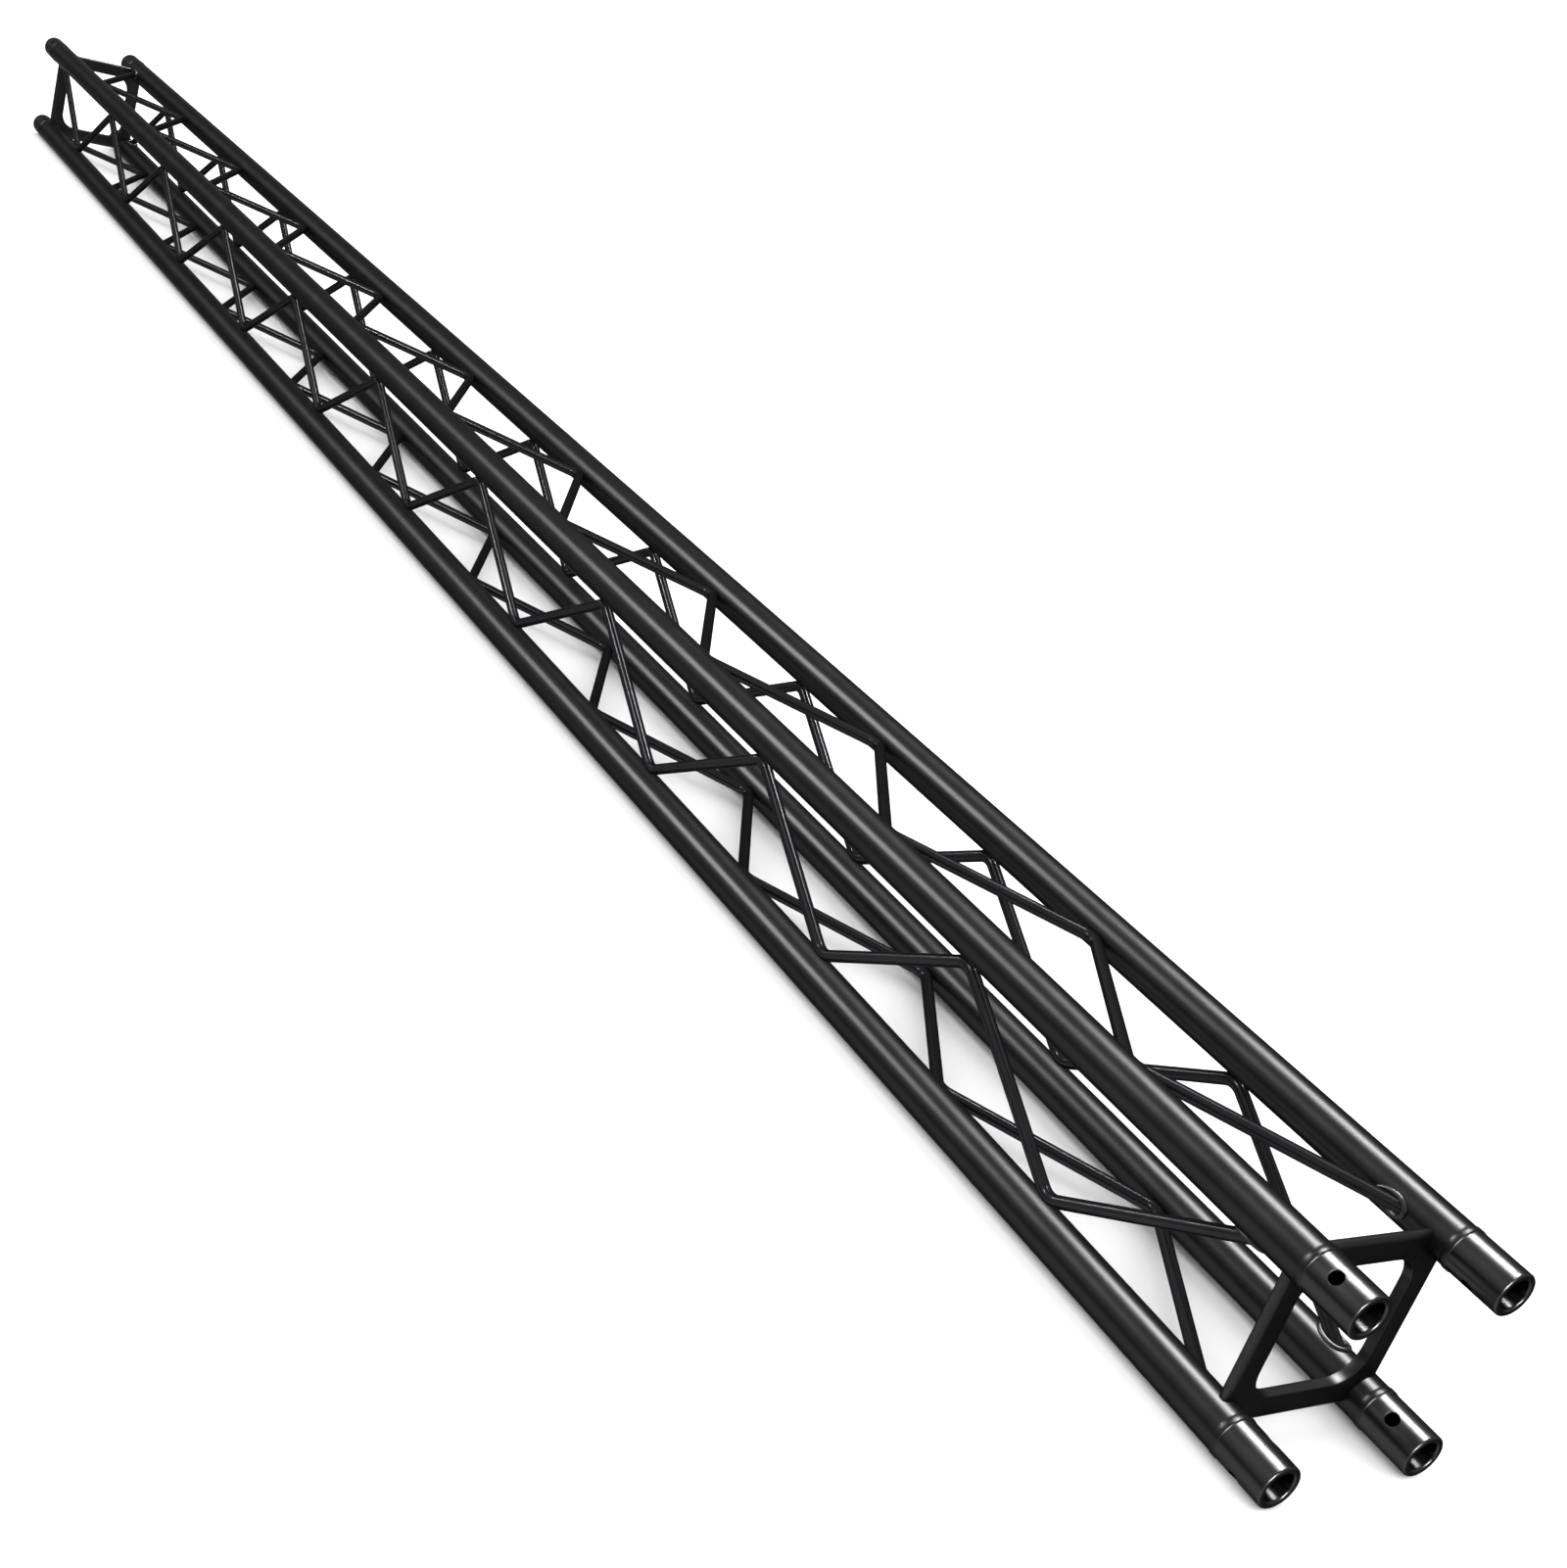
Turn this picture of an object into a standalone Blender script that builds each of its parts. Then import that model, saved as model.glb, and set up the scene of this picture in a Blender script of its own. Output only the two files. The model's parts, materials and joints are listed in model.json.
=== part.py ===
"""Square lighting truss section, 2 m long: four round chords, a turned sleeve in each chord end,
a square end frame behind the sleeves, and one bent lacing rod on each of the four sides.

Metres. +X runs along the section, +Y to the right seen from the front (+X) end, +Z up.
The section lies on its two lower chords, with the floor at Z = 0.
"""

import math

import bmesh
import bpy
from mathutils import Matrix, Vector

# Driving dimensions
LENGTH = 2.000
CHORD_SPACING = 0.080
CHORD_DIAMETER = 0.020
CHORD_WALL = 0.002

COLLAR_SETBACK = 0.0270
COLLAR_WIDTH = 0.0046
COLLAR_RISE = 0.00035
SPIGOT_LENGTH = 0.018
SOCKET_MOUTH_RADIUS = 0.0068
SOCKET_INNER_RADIUS = 0.0062
SOCKET_TAPER_LENGTH = 0.028
MOUTH_OUTER_ROUND = 0.0010
MOUTH_INNER_ROUND = 0.0012
PIN_HOLE_DIAMETER = 0.006
PIN_HOLE_SETBACK = 0.015

END_FRAME_SETBACK = 0.037
END_FRAME_SIDE = 0.085
END_FRAME_THICKNESS = 0.005
END_FRAME_OPENING = 0.062
END_FRAME_CORNER_RADIUS = 0.014
END_FRAME_EDGE_ROUND = 0.0024

LACING_DIAMETER = 0.006
LACING_HALF_LENGTH = 0.9408
LACING_RUNS = 20
LACING_BEND_RADIUS = 0.010

# Clearance left between neighbouring pieces, where the real ones are welded
GAP = 0.0003

CHORD_STEPS = 32
SLEEVE_STEPS = 24
BEND_STEPS = 3
SMOOTH_ANGLE = 35

# Heights and radii that follow from the driving dimensions
CHORD_RADIUS = CHORD_DIAMETER / 2
HALF_SPACING = CHORD_SPACING / 2
AXIS_HEIGHT = HALF_SPACING + CHORD_RADIUS + COLLAR_RISE
SHOULDER_SETBACK = COLLAR_SETBACK + COLLAR_WIDTH / 2
CHORD_LENGTH = LENGTH - 2 * (SHOULDER_SETBACK + GAP)

# Each corner's place about the section's axis, as signs of Y and Z
CORNERS = {
    "top_left": (-1, 1),
    "top_right": (1, 1),
    "bottom_right": (1, -1),
    "bottom_left": (-1, -1),
}
ENDS = {"front": 1, "back": -1}

BLACK_COAT = ("black_coat", (0.028, 0.028, 0.030), 0.36, 0.15)
FRAME_COAT = ("frame_coat", (0.020, 0.020, 0.021), 0.48, 0.10)
SLEEVE_COAT = ("sleeve_coat", (0.034, 0.034, 0.036), 0.24, 0.35)
ROD_COAT = ("rod_coat", (0.026, 0.026, 0.028), 0.34, 0.15)


def clear_scene():
    for obj in list(bpy.data.objects):
        bpy.data.objects.remove(obj, do_unlink=True)


def new_collection(name):
    collection = bpy.data.collections.new(name)
    bpy.context.scene.collection.children.link(collection)
    return collection


def new_material(name, colour, roughness, metallic):
    material = bpy.data.materials.new(name)
    material.use_nodes = True
    shader = material.node_tree.nodes["Principled BSDF"]
    shader.inputs["Base Color"].default_value = (*colour, 1.0)
    shader.inputs["Roughness"].default_value = roughness
    shader.inputs["Metallic"].default_value = metallic
    material.diffuse_color = (*colour, 1.0)
    return material


def corner_place(corner, x=0.0):
    """Point on a chord's axis, at the distance x along the section."""
    side, level = CORNERS[corner]
    return Vector((x, side * HALF_SPACING, AXIS_HEIGHT + level * HALF_SPACING))


def along_x(end=1):
    """Rotation that turns a piece modelled along its own +Z towards the given end of the section."""
    return Matrix.Rotation(end * math.pi / 2, 4, "Y")


def add_object(name, mesh, collection, material=None):
    obj = bpy.data.objects.new(name, mesh)
    collection.objects.link(obj)
    if material and not mesh.materials:
        mesh.materials.append(material)
    return obj


def place(obj, location, rotation=None):
    obj.matrix_world = Matrix.Translation(location) @ (rotation or Matrix.Identity(4))


def arc(centre, radius, start, end, steps):
    """Points on an arc in a plane, angles in degrees."""
    points = []
    for step in range(steps + 1):
        angle = math.radians(start + (end - start) * step / steps)
        points.append((centre[0] + radius * math.cos(angle), centre[1] + radius * math.sin(angle)))
    return points


def outline_mesh(name, profile):
    """Closed loop of edges from (radius, height) points, ready for a Screw modifier."""
    mesh = bpy.data.meshes.new(name)
    vertices = [(radius, 0.0, height) for radius, height in profile]
    edges = [(i, (i + 1) % len(vertices)) for i in range(len(vertices))]
    mesh.from_pydata(vertices, edges, [])
    return mesh


def add_turning(obj, steps):
    """Screw modifier that turns the object's profile about its own Z axis."""
    screw = obj.modifiers.new("turned", "SCREW")
    screw.axis = "Z"
    screw.steps = steps
    screw.render_steps = steps
    screw.use_merge_vertices = True
    screw.merge_threshold = 0.0001
    screw.use_smooth_shade = True
    return screw


def cut(obj, cutter):
    boolean = obj.modifiers.new("cut_" + cutter.name, "BOOLEAN")
    boolean.operation = "DIFFERENCE"
    boolean.solver = "EXACT"
    boolean.object = cutter


def add_cutter(name, mesh, collection):
    cutter = add_object(name, mesh, collection)
    cutter.hide_render = True
    cutter.display_type = "WIRE"
    return cutter


def cylinder_mesh(name, radius, length, steps):
    """Solid cylinder along its own Z axis, centred on the origin."""
    mesh = bpy.data.meshes.new(name)
    shape = bmesh.new()
    bmesh.ops.create_cone(
        shape,
        cap_ends=True,
        segments=steps,
        radius1=radius,
        radius2=radius,
        depth=length,
    )
    shape.to_mesh(mesh)
    shape.free()
    return mesh


def chord_profile():
    outer = CHORD_RADIUS
    inner = CHORD_RADIUS - CHORD_WALL
    half = CHORD_LENGTH / 2
    return [(outer, half), (outer, -half), (inner, -half), (inner, half)]


def collar_points():
    """The raised weld collar: a shallow arc standing on the sleeve's outside, front to back."""
    half = COLLAR_WIDTH / 2
    radius = (half**2 + COLLAR_RISE**2) / (2 * COLLAR_RISE)
    sweep = math.degrees(math.asin(half / radius))
    centre = (CHORD_RADIUS + COLLAR_RISE - radius, -COLLAR_SETBACK)
    return arc(centre, radius, sweep, -sweep, 4)


def sleeve_profile():
    """Half section of a sleeve, its mouth at Z = 0 and its spigot pointing down."""
    spigot_end = -(SHOULDER_SETBACK + SPIGOT_LENGTH)
    spigot_radius = CHORD_RADIUS - CHORD_WALL - GAP
    outer_round = arc(
        (CHORD_RADIUS - MOUTH_OUTER_ROUND, -MOUTH_OUTER_ROUND), MOUTH_OUTER_ROUND, 90, 0, 2
    )
    inner_round = arc(
        (SOCKET_MOUTH_RADIUS + MOUTH_INNER_ROUND, -MOUTH_INNER_ROUND), MOUTH_INNER_ROUND, 180, 90, 2
    )
    back = [
        (spigot_radius, -SHOULDER_SETBACK),
        (spigot_radius, spigot_end),
        (SOCKET_INNER_RADIUS, spigot_end),
        (SOCKET_INNER_RADIUS, -SOCKET_TAPER_LENGTH),
    ]
    return outer_round + collar_points() + back + inner_round


def rounded_square(side, radius, steps):
    """Corner points of a square with rounded corners, centred on the origin."""
    inset = side / 2 - radius
    points = []
    for quarter, (right, up) in enumerate([(1, 1), (-1, 1), (-1, -1), (1, -1)]):
        start = 90 * quarter
        points += arc((right * inset, up * inset), radius, start, start + 90, steps)
    return points


def prism_mesh(name, outline, thickness):
    """Solid of constant thickness, centred on the XY plane."""
    mesh = bpy.data.meshes.new(name)
    shape = bmesh.new()
    face = shape.faces.new([shape.verts.new((x, y, -thickness / 2)) for x, y in outline])
    raised = bmesh.ops.extrude_face_region(shape, geom=[face])
    top = [item for item in raised["geom"] if isinstance(item, bmesh.types.BMVert)]
    bmesh.ops.translate(shape, vec=(0, 0, thickness), verts=top)
    bmesh.ops.recalc_face_normals(shape, faces=shape.faces)
    shape.to_mesh(mesh)
    shape.free()
    return mesh


def plate_mesh(name):
    """The end frame's blank: a square plate whose four outer sides get rounded edges."""
    corner = END_FRAME_SIDE / 2
    outline = [(-corner, -corner), (corner, -corner), (corner, corner), (-corner, corner)]
    mesh = prism_mesh(name, outline, END_FRAME_THICKNESS)
    weights = mesh.attributes.new("bevel_weight_edge", "FLOAT", "EDGE")
    for edge in mesh.edges:
        start, end = (mesh.vertices[index].co for index in edge.vertices)
        lies_flat = abs(start.z - end.z) < 1e-6
        weights.data[edge.index].value = 1.0 if lies_flat else 0.0
    return mesh


def lacing_path():
    """Centre line of the top lacing rod about the section's axis, from back to front.

    The rod starts on the right chord, bends against each chord in turn, and ends on the right
    chord again. Its first and last points lie inside that chord, where the rod is cut to fit.
    """
    pitch = 2 * LACING_HALF_LENGTH / LACING_RUNS
    touch = HALF_SPACING - CHORD_RADIUS - GAP - LACING_DIAMETER / 2
    slope = math.atan2(2 * touch, pitch)
    for _ in range(8):
        reach = touch + LACING_BEND_RADIUS * (1 / math.cos(slope) - 1)
        slope = math.atan2(2 * reach, pitch)
    bends = []
    for index in range(LACING_RUNS + 1):
        side = 1 if index % 2 == 0 else -1
        bends.append(Vector((-LACING_HALF_LENGTH + index * pitch, side * reach, HALF_SPACING)))
    overrun = CHORD_RADIUS + GAP
    path = [bends[0] + (bends[0] - bends[1]).normalized() * overrun]
    for before, bend, after in zip(bends, bends[1:], bends[2:]):
        path += rounded_bend(before, bend, after, LACING_BEND_RADIUS, BEND_STEPS)
    path.append(bends[-1] + (bends[-1] - bends[-2]).normalized() * overrun)
    return path


def rounded_bend(before, bend, after, radius, steps):
    """Points on the arc that rounds the corner at bend."""
    inward = (before - bend).normalized()
    outward = (after - bend).normalized()
    half_angle = inward.angle(outward) / 2
    centre = bend + (inward + outward).normalized() * radius / math.sin(half_angle)
    start = bend + inward * radius / math.tan(half_angle) - centre
    axis = start.cross(bend - centre).normalized()
    sweep = math.pi - 2 * half_angle
    points = []
    for step in range(steps + 1):
        turn = Matrix.Rotation(sweep * step / steps, 3, axis)
        points.append(centre + turn @ start)
    return points


def lacing_mesh(name):
    """The bent rod as a mesh, with its end caps joined to its side."""
    curve = bpy.data.curves.new(name, "CURVE")
    curve.dimensions = "3D"
    curve.bevel_depth = LACING_DIAMETER / 2
    curve.bevel_resolution = 2
    curve.use_fill_caps = True
    path = lacing_path()
    spline = curve.splines.new("POLY")
    spline.points.add(len(path) - 1)
    for point, place_on_path in zip(spline.points, path):
        point.co = (*place_on_path, 1.0)
    rod = bpy.data.objects.new(name, curve)
    bpy.context.scene.collection.objects.link(rod)
    bpy.context.view_layer.update()
    evaluated = rod.evaluated_get(bpy.context.evaluated_depsgraph_get())
    mesh = bpy.data.meshes.new_from_object(evaluated)
    mesh.name = name
    bpy.data.objects.remove(rod, do_unlink=True)
    bpy.data.curves.remove(curve)
    shape = bmesh.new()
    shape.from_mesh(mesh)
    bmesh.ops.remove_doubles(shape, verts=shape.verts, dist=0.00001)
    bmesh.ops.recalc_face_normals(shape, faces=shape.faces)
    shape.to_mesh(mesh)
    shape.free()
    return mesh


def build_chords(collection, material):
    mesh = outline_mesh("chord_profile", chord_profile())
    for corner in CORNERS:
        chord = add_object("chord_" + corner, mesh, collection, material)
        add_turning(chord, CHORD_STEPS)
        place(chord, corner_place(corner), along_x())


def build_sleeves(collection, material, pin_cutters):
    mesh = outline_mesh("sleeve_profile", sleeve_profile())
    for end_name, end in ENDS.items():
        for corner, (side, level) in CORNERS.items():
            sleeve = add_object(f"sleeve_{end_name}_{corner}", mesh, collection, material)
            add_turning(sleeve, SLEEVE_STEPS)
            cut(sleeve, pin_cutters[end_name, side * level])
            place(sleeve, corner_place(corner, end * LENGTH / 2), along_x(end))


def build_pin_cutters(collection):
    """Drills through both sleeves on each diagonal of the section, at both ends."""
    mesh = cylinder_mesh("pin_drill", PIN_HOLE_DIAMETER / 2, 2 * CHORD_SPACING, 20)
    cutters = {}
    for end_name, end in ENDS.items():
        for diagonal, tilt in ((1, -45), (-1, 45)):
            lean = "rising" if diagonal == 1 else "falling"
            cutter = add_cutter(f"pin_drill_{end_name}_{lean}", mesh, collection)
            place_x = end * (LENGTH / 2 - PIN_HOLE_SETBACK)
            turn = Matrix.Rotation(math.radians(tilt), 4, "X")
            place(cutter, Vector((place_x, 0, AXIS_HEIGHT)), turn)
            cutters[end_name, diagonal] = cutter
    return cutters


def build_chord_cutters(collection):
    """Each chord with its clearance, for shaping the pieces that meet it."""
    mesh = cylinder_mesh("chord_room", CHORD_RADIUS + GAP, LENGTH, 2 * CHORD_STEPS)
    cutters = {}
    for corner in CORNERS:
        cutters[corner] = add_cutter("chord_room_" + corner, mesh, collection)
        place(cutters[corner], corner_place(corner), along_x())
    return cutters


def build_end_frames(collection, cutters_collection, material, chord_cutters):
    blank = plate_mesh("end_frame_blank")
    outline = rounded_square(END_FRAME_OPENING, END_FRAME_CORNER_RADIUS, 6)
    window = prism_mesh("end_frame_window", outline, 2 * END_FRAME_THICKNESS)
    for end_name, end in ENDS.items():
        centre = Vector((end * (LENGTH / 2 - END_FRAME_SETBACK), 0, AXIS_HEIGHT))
        cutter = add_cutter(f"end_frame_window_{end_name}", window, cutters_collection)
        place(cutter, centre, along_x(end))
        frame = add_object(f"end_frame_{end_name}", blank, collection, material)
        place(frame, centre, along_x(end))
        rounding = frame.modifiers.new("rounded_edges", "BEVEL")
        rounding.limit_method = "WEIGHT"
        rounding.width = END_FRAME_EDGE_ROUND
        rounding.segments = 4
        cut(frame, cutter)
        for chord_cutter in chord_cutters.values():
            cut(frame, chord_cutter)


def build_lacing(collection, material, chord_cutters):
    """The same bent rod on all four sides, each a quarter turn on from the last."""
    mesh = lacing_mesh("lacing_rod")
    mesh.shade_smooth()
    mesh.set_sharp_from_angle(angle=math.radians(SMOOTH_ANGLE))
    sides = (
        ("top", "top_right"),
        ("left", "top_left"),
        ("bottom", "bottom_left"),
        ("right", "bottom_right"),
    )
    for quarter, (side, end_corner) in enumerate(sides):
        rod = add_object("lacing_" + side, mesh, collection, material)
        cut(rod, chord_cutters[end_corner])
        turn = Matrix.Rotation(quarter * math.pi / 2, 4, "X")
        place(rod, Vector((0, 0, AXIS_HEIGHT)), turn)


def main():
    clear_scene()
    parts = new_collection("truss_section")
    cutters = new_collection("cutters")
    pin_cutters = build_pin_cutters(cutters)
    chord_cutters = build_chord_cutters(cutters)
    build_chords(parts, new_material(*BLACK_COAT))
    build_sleeves(parts, new_material(*SLEEVE_COAT), pin_cutters)
    build_end_frames(parts, cutters, new_material(*FRAME_COAT), chord_cutters)
    build_lacing(parts, new_material(*ROD_COAT), chord_cutters)
    bpy.context.view_layer.update()


main()
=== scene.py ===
"""Looks for the lighting truss section: fine tubes, turned sleeves, end frames, bent lacing rods
and weld beads in black coatings, on a plain pale floor.

Metres, in the frame of the CAD model: +X along the section to its front end, +Z up.
"""

import json
import math

import bmesh
import bpy
from mathutils import Matrix, Vector

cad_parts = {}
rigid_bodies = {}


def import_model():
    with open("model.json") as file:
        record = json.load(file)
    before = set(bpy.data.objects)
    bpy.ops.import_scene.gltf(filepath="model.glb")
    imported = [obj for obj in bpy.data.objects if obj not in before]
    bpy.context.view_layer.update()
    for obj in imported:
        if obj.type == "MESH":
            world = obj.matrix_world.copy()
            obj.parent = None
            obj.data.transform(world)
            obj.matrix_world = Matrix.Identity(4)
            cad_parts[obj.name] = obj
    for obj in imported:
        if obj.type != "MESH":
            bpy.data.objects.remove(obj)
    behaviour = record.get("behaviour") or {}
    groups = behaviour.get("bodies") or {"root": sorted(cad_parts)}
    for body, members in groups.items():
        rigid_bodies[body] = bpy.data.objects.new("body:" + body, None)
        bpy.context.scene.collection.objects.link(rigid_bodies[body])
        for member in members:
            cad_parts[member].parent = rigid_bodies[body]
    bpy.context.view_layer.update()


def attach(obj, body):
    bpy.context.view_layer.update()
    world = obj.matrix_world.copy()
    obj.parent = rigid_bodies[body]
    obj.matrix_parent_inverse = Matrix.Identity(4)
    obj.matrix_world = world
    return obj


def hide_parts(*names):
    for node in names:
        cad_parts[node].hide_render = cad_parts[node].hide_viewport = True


# Sizes that the CAD model has too, apart from the gaps between its pieces
LENGTH = 2.000
HALF_SPACING = 0.040
CHORD_RADIUS = 0.010
CHORD_WALL = 0.002
CHORD_SETBACK = 0.0293
COLLAR_RISE = 0.00035
AXIS_HEIGHT = HALF_SPACING + CHORD_RADIUS + COLLAR_RISE
SOCKET_MOUTH_RADIUS = 0.0068
SOCKET_INNER_RADIUS = 0.0062
SOCKET_TAPER_LENGTH = 0.028
SPIGOT_LENGTH = 0.018
MOUTH_OUTER_ROUND = 0.0010
MOUTH_INNER_ROUND = 0.0012
PIN_HOLE_RADIUS = 0.003
PIN_HOLE_SETBACK = 0.015
END_FRAME_SETBACK = 0.037
END_FRAME_SIDE = 0.085
END_FRAME_THICKNESS = 0.005
END_FRAME_OPENING = 0.062
END_FRAME_CORNER_RADIUS = 0.014
END_FRAME_EDGE_ROUND = 0.0024
ROD_RADIUS = 0.003
LACING_HALF_LENGTH = 0.9408
LACING_RUNS = 20
LACING_BEND_RADIUS = 0.010

# Details of this model only. The collar is narrower than the CAD model's
COLLAR_START = 0.02515
COLLAR_END = 0.0283
COLLAR_FRONT = 0.0006
COLLAR_BACK = 0.0003
PIN_HOLE_EDGE = 0.0003
WINDOW_EDGE = 0.0004
ROD_CLEARANCE = 0.0001
ROD_OVERRUN = 0.010

# Weld beads at the ends of the lacing rods
BEAD_RADIUS = 0.0012
BEAD_RING_RADIUS = 0.0040
BEAD_LIFT = 0.0002
BEAD_RIPPLE = 0.012
BEAD_RIPPLES = 16

# Solids that cut the sleeves and frames, and how far they reach past what they cut
DRILL_OVERSHOOT = 0.0015
DRILL_END_FLARE = 2.2 * PIN_HOLE_EDGE
WINDOW_OVERSHOOT = 0.001
CHORD_ROOM_REACH = 0.02
CHORD_ROOM_RADIUS = CHORD_RADIUS - 0.0002

# Worn strips: where each strip's middle is, and its half width
OUTER_LIP_STRIP = (CHORD_RADIUS - 0.0003, 0.0008)
INNER_LIP_STRIP = (SOCKET_MOUTH_RADIUS + 0.0004, 0.0009)
MOUTH_STRIP = (0.0, 0.0009)
PIN_HOLE_STRIP = (PIN_HOLE_RADIUS + 0.00015, 0.0003)
FRAME_RIM_STRIP = (END_FRAME_SIDE / 2, 0.0007)
OUTSIDE_FROM = 0.0092
SLEEVE_WEAR = 0.3
FRAME_WEAR = 0.15

# Painted shade in the socket, darker by depth behind the mouth: from the lip's, by way of points at
# SOCKET_DIM, to black at SOCKET_DARK
SOCKET_LIP_PAINTED_SHADE = 0.35
SOCKET_DIM = 0.003
SOCKET_DARK = 0.0085

# Margins that tell the sleeve's outside from its walls and holes
WALL_MARGIN = 0.0001
PIN_HOLE_MARGIN = 0.00003
SURFACE_MARGIN = 0.00002
ALONG_THE_RADIUS = 0.99

# Smoothness of the round forms, as steps
ROUND_STEPS = 96
ROD_STEPS = 32
BEND_STEPS = 12
BEAD_STEPS = 96
BEAD_ROUND_STEPS = 20
LIP_STEPS = 8
SHOULDER_STEPS = 8
PIN_HOLE_STEPS = 64
PIN_HOLE_EDGE_STEPS = 6
FRAME_EDGE_STEPS = 10
WINDOW_EDGE_STEPS = 5
WINDOW_CORNER_STEPS = 20

# Passes that settle the slope of the lacing's runs
SLOPE_PASSES = 8

# Angles in degrees from which an edge stays sharp
TUBE_SHARP = 40
COLLAR_SHARP = 50
SLEEVE_SHARP = 24
FRAME_SHARP = 30
ROD_SHARP = 40

CORNERS = {
    "top_left": (-1, 1),
    "top_right": (1, 1),
    "bottom_right": (1, -1),
    "bottom_left": (-1, -1),
}
ENDS = {"front": 1, "back": -1}

# The sides, each a quarter turn about X from the one before
SIDES = ("top", "left", "bottom", "right")

# The corners of a square, anticlockwise
QUARTERS = ((1, 1), (-1, 1), (-1, -1), (1, -1))

# Coatings. Grain below 1 draws the fine lines out along that axis, as the metal was worked
COATS = {
    "tube": {
        "colour": (0.062, 0.062, 0.062),
        "roughness": 0.29,
        "grain": (0.02, 1, 1),
        "metallic": 0.97,
        "edge_tint": 0.30,
        "peel": 0.03,
    },
    "sleeve": {
        "colour": (0.105, 0.105, 0.105),
        "roughness": 0.25,
        "grain": (1, 0.05, 0.05),
        "metallic": 1.0,
        "edge_tint": 0.30,
        "peel": 0.03,
    },
    "plate": {
        "colour": (0.080, 0.080, 0.080),
        "roughness": 0.28,
        "grain": (1, 0.1, 1),
        "metallic": 0.99,
        "edge_tint": 0.25,
        "peel": 0.15,
    },
    "rod": {
        "colour": (0.060, 0.060, 0.064),
        "roughness": 0.20,
        "grain": (0.05, 1, 1),
        "metallic": 0.93,
        "edge_tint": 0.25,
        "peel": 0.03,
    },
    "bead": {
        "colour": (0.130, 0.130, 0.130),
        "roughness": 0.32,
        "grain": (1, 1, 1),
        "metallic": 1.0,
        "edge_tint": 0.30,
        "peel": 0.08,
    },
}
BARE_METAL = (0.32, 0.32, 0.3232)

# Marks in the coatings: cycles per metre, strengths, and heights in metres
PATCH_CYCLES = 60
LINE_CYCLES = 900
SPECKLE_CYCLES = 1600
RUB_CYCLES = 420
RUB_LEAST = 0.25
PATCH_TONE = 0.05
PATCH_ROUGHNESS = 0.012
LINE_ROUGHNESS_SHARE = 1 / 5
LINE_BUMP_SHARE = 1 / 3
LINE_HEIGHT = 0.00002
SPECKLE_HEIGHT = 0.00001

FLOOR_REACH = 12.0
FLOOR_TONE = (0.93, 0.95)
FLOOR_CYCLES = 3
FLOOR_ROUGHNESS = 0.9
FLOOR_SPECULAR = 0.1

# Brightness of the dome that lights the floor
DOME_WHITE = (1.9, 1.9, 1.9, 1.0)

# Grey of the studio in the reflections, by height, on the -Y and +Y sides
LEFT_REFLECTION = (
    (-1.0, 0.40),
    (-0.55, 0.40),
    (-0.36, 0.30),
    (-0.20, 0.00),
    (-0.08, 0.06),
    (0.20, 0.24),
    (1.0, 0.20),
)
RIGHT_REFLECTION = (
    (-1.0, 0.40),
    (-0.75, 0.20),
    (-0.50, 0.10),
    (-0.25, 0.05),
    (0.0, 0.12),
    (0.30, 0.26),
    (1.0, 0.20),
)

# The +Y side's greys take over as the direction's Y goes from 0 to this
RIGHT_FROM = 0.6

# Grey towards the section's ends, which takes over between these sizes of the direction's X.
# It goes from left to right as Y goes from 0 to END_RIGHT_FROM, and it is dimmed in front,
# which is a change from X = -END_FRONT_CHANGE to X = END_FRONT_CHANGE
END_TAKES_OVER = (0.68, 0.90)
END_LEFT = 0.46
END_RIGHT = 0.24
END_RIGHT_FROM = 0.35
END_FRONT_DIMMING = 0.6
END_FRONT_CHANGE = 0.5

# Collections of the pieces that each set of lamps lights
LIT = "lit_by_lamps"
MOUTHS = "lit_from_the_front"
RODS = "lit_as_rods"

# Lamps: azimuth and elevation in degrees, width along the section and length round it as shares
# of the lamp's distance, radiance, and what the lamp lights
LAMPS = {
    "lamp_low": (-143, 27, (0.24, 0.30), 10.0, LIT),
    "lamp_high": (147, 63, (0.22, 0.30), 16.0, LIT),
    "lamp_high_rim": (149, 64, (0.26, 0.60), 7.5, LIT),
    "lamp_front": (-22, 22, (0.50, 0.50), 13.0, MOUTHS),
    "lamp_rods_side": (-109, 38, (0.05, 0.16), 45.0, RODS),
    "lamp_rods_top": (76, 75.5, (0.07, 0.12), 68.0, RODS),
    "lamp_rods_top_back": (150, 74, (0.06, 0.14), 34.0, RODS),
    "lamp_rods_back": (-161, 10, (0.05, 0.10), 32.0, RODS),
}
LAMP_DISTANCE = 15.0

# The photograph's viewpoint, found from the section's own edges: its place, and the
# directions to the right and up in the picture
CAMERA_PLACE = (1.34157, -0.62650, 0.46645)
CAMERA_RIGHT = (0.46579494, 0.83678043, 0.28780825)
CAMERA_UP = (-0.49988665, -0.019551, 0.86587014)
CAMERA_LENS = 47.816
CAMERA_SENSOR_WIDTH = 36.0
CAMERA_SHIFT = (0.0347, 0.03655)
CAMERA_NEAR = 0.01


# ---------------------------------------------------------------- meshes


def arc(centre, radius, start, end, steps):
    """Points on an arc in a plane, angles in degrees."""
    points = []
    for step in range(steps + 1):
        angle = math.radians(start + (end - start) * step / steps)
        points.append((centre[0] + radius * math.cos(angle), centre[1] + radius * math.sin(angle)))
    return points


def circle(steps):
    """Cosine and sine of evenly spaced angles, once round."""
    angles = [2 * math.pi * step / steps for step in range(steps)]
    return [(math.cos(angle), math.sin(angle)) for angle in angles]


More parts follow.
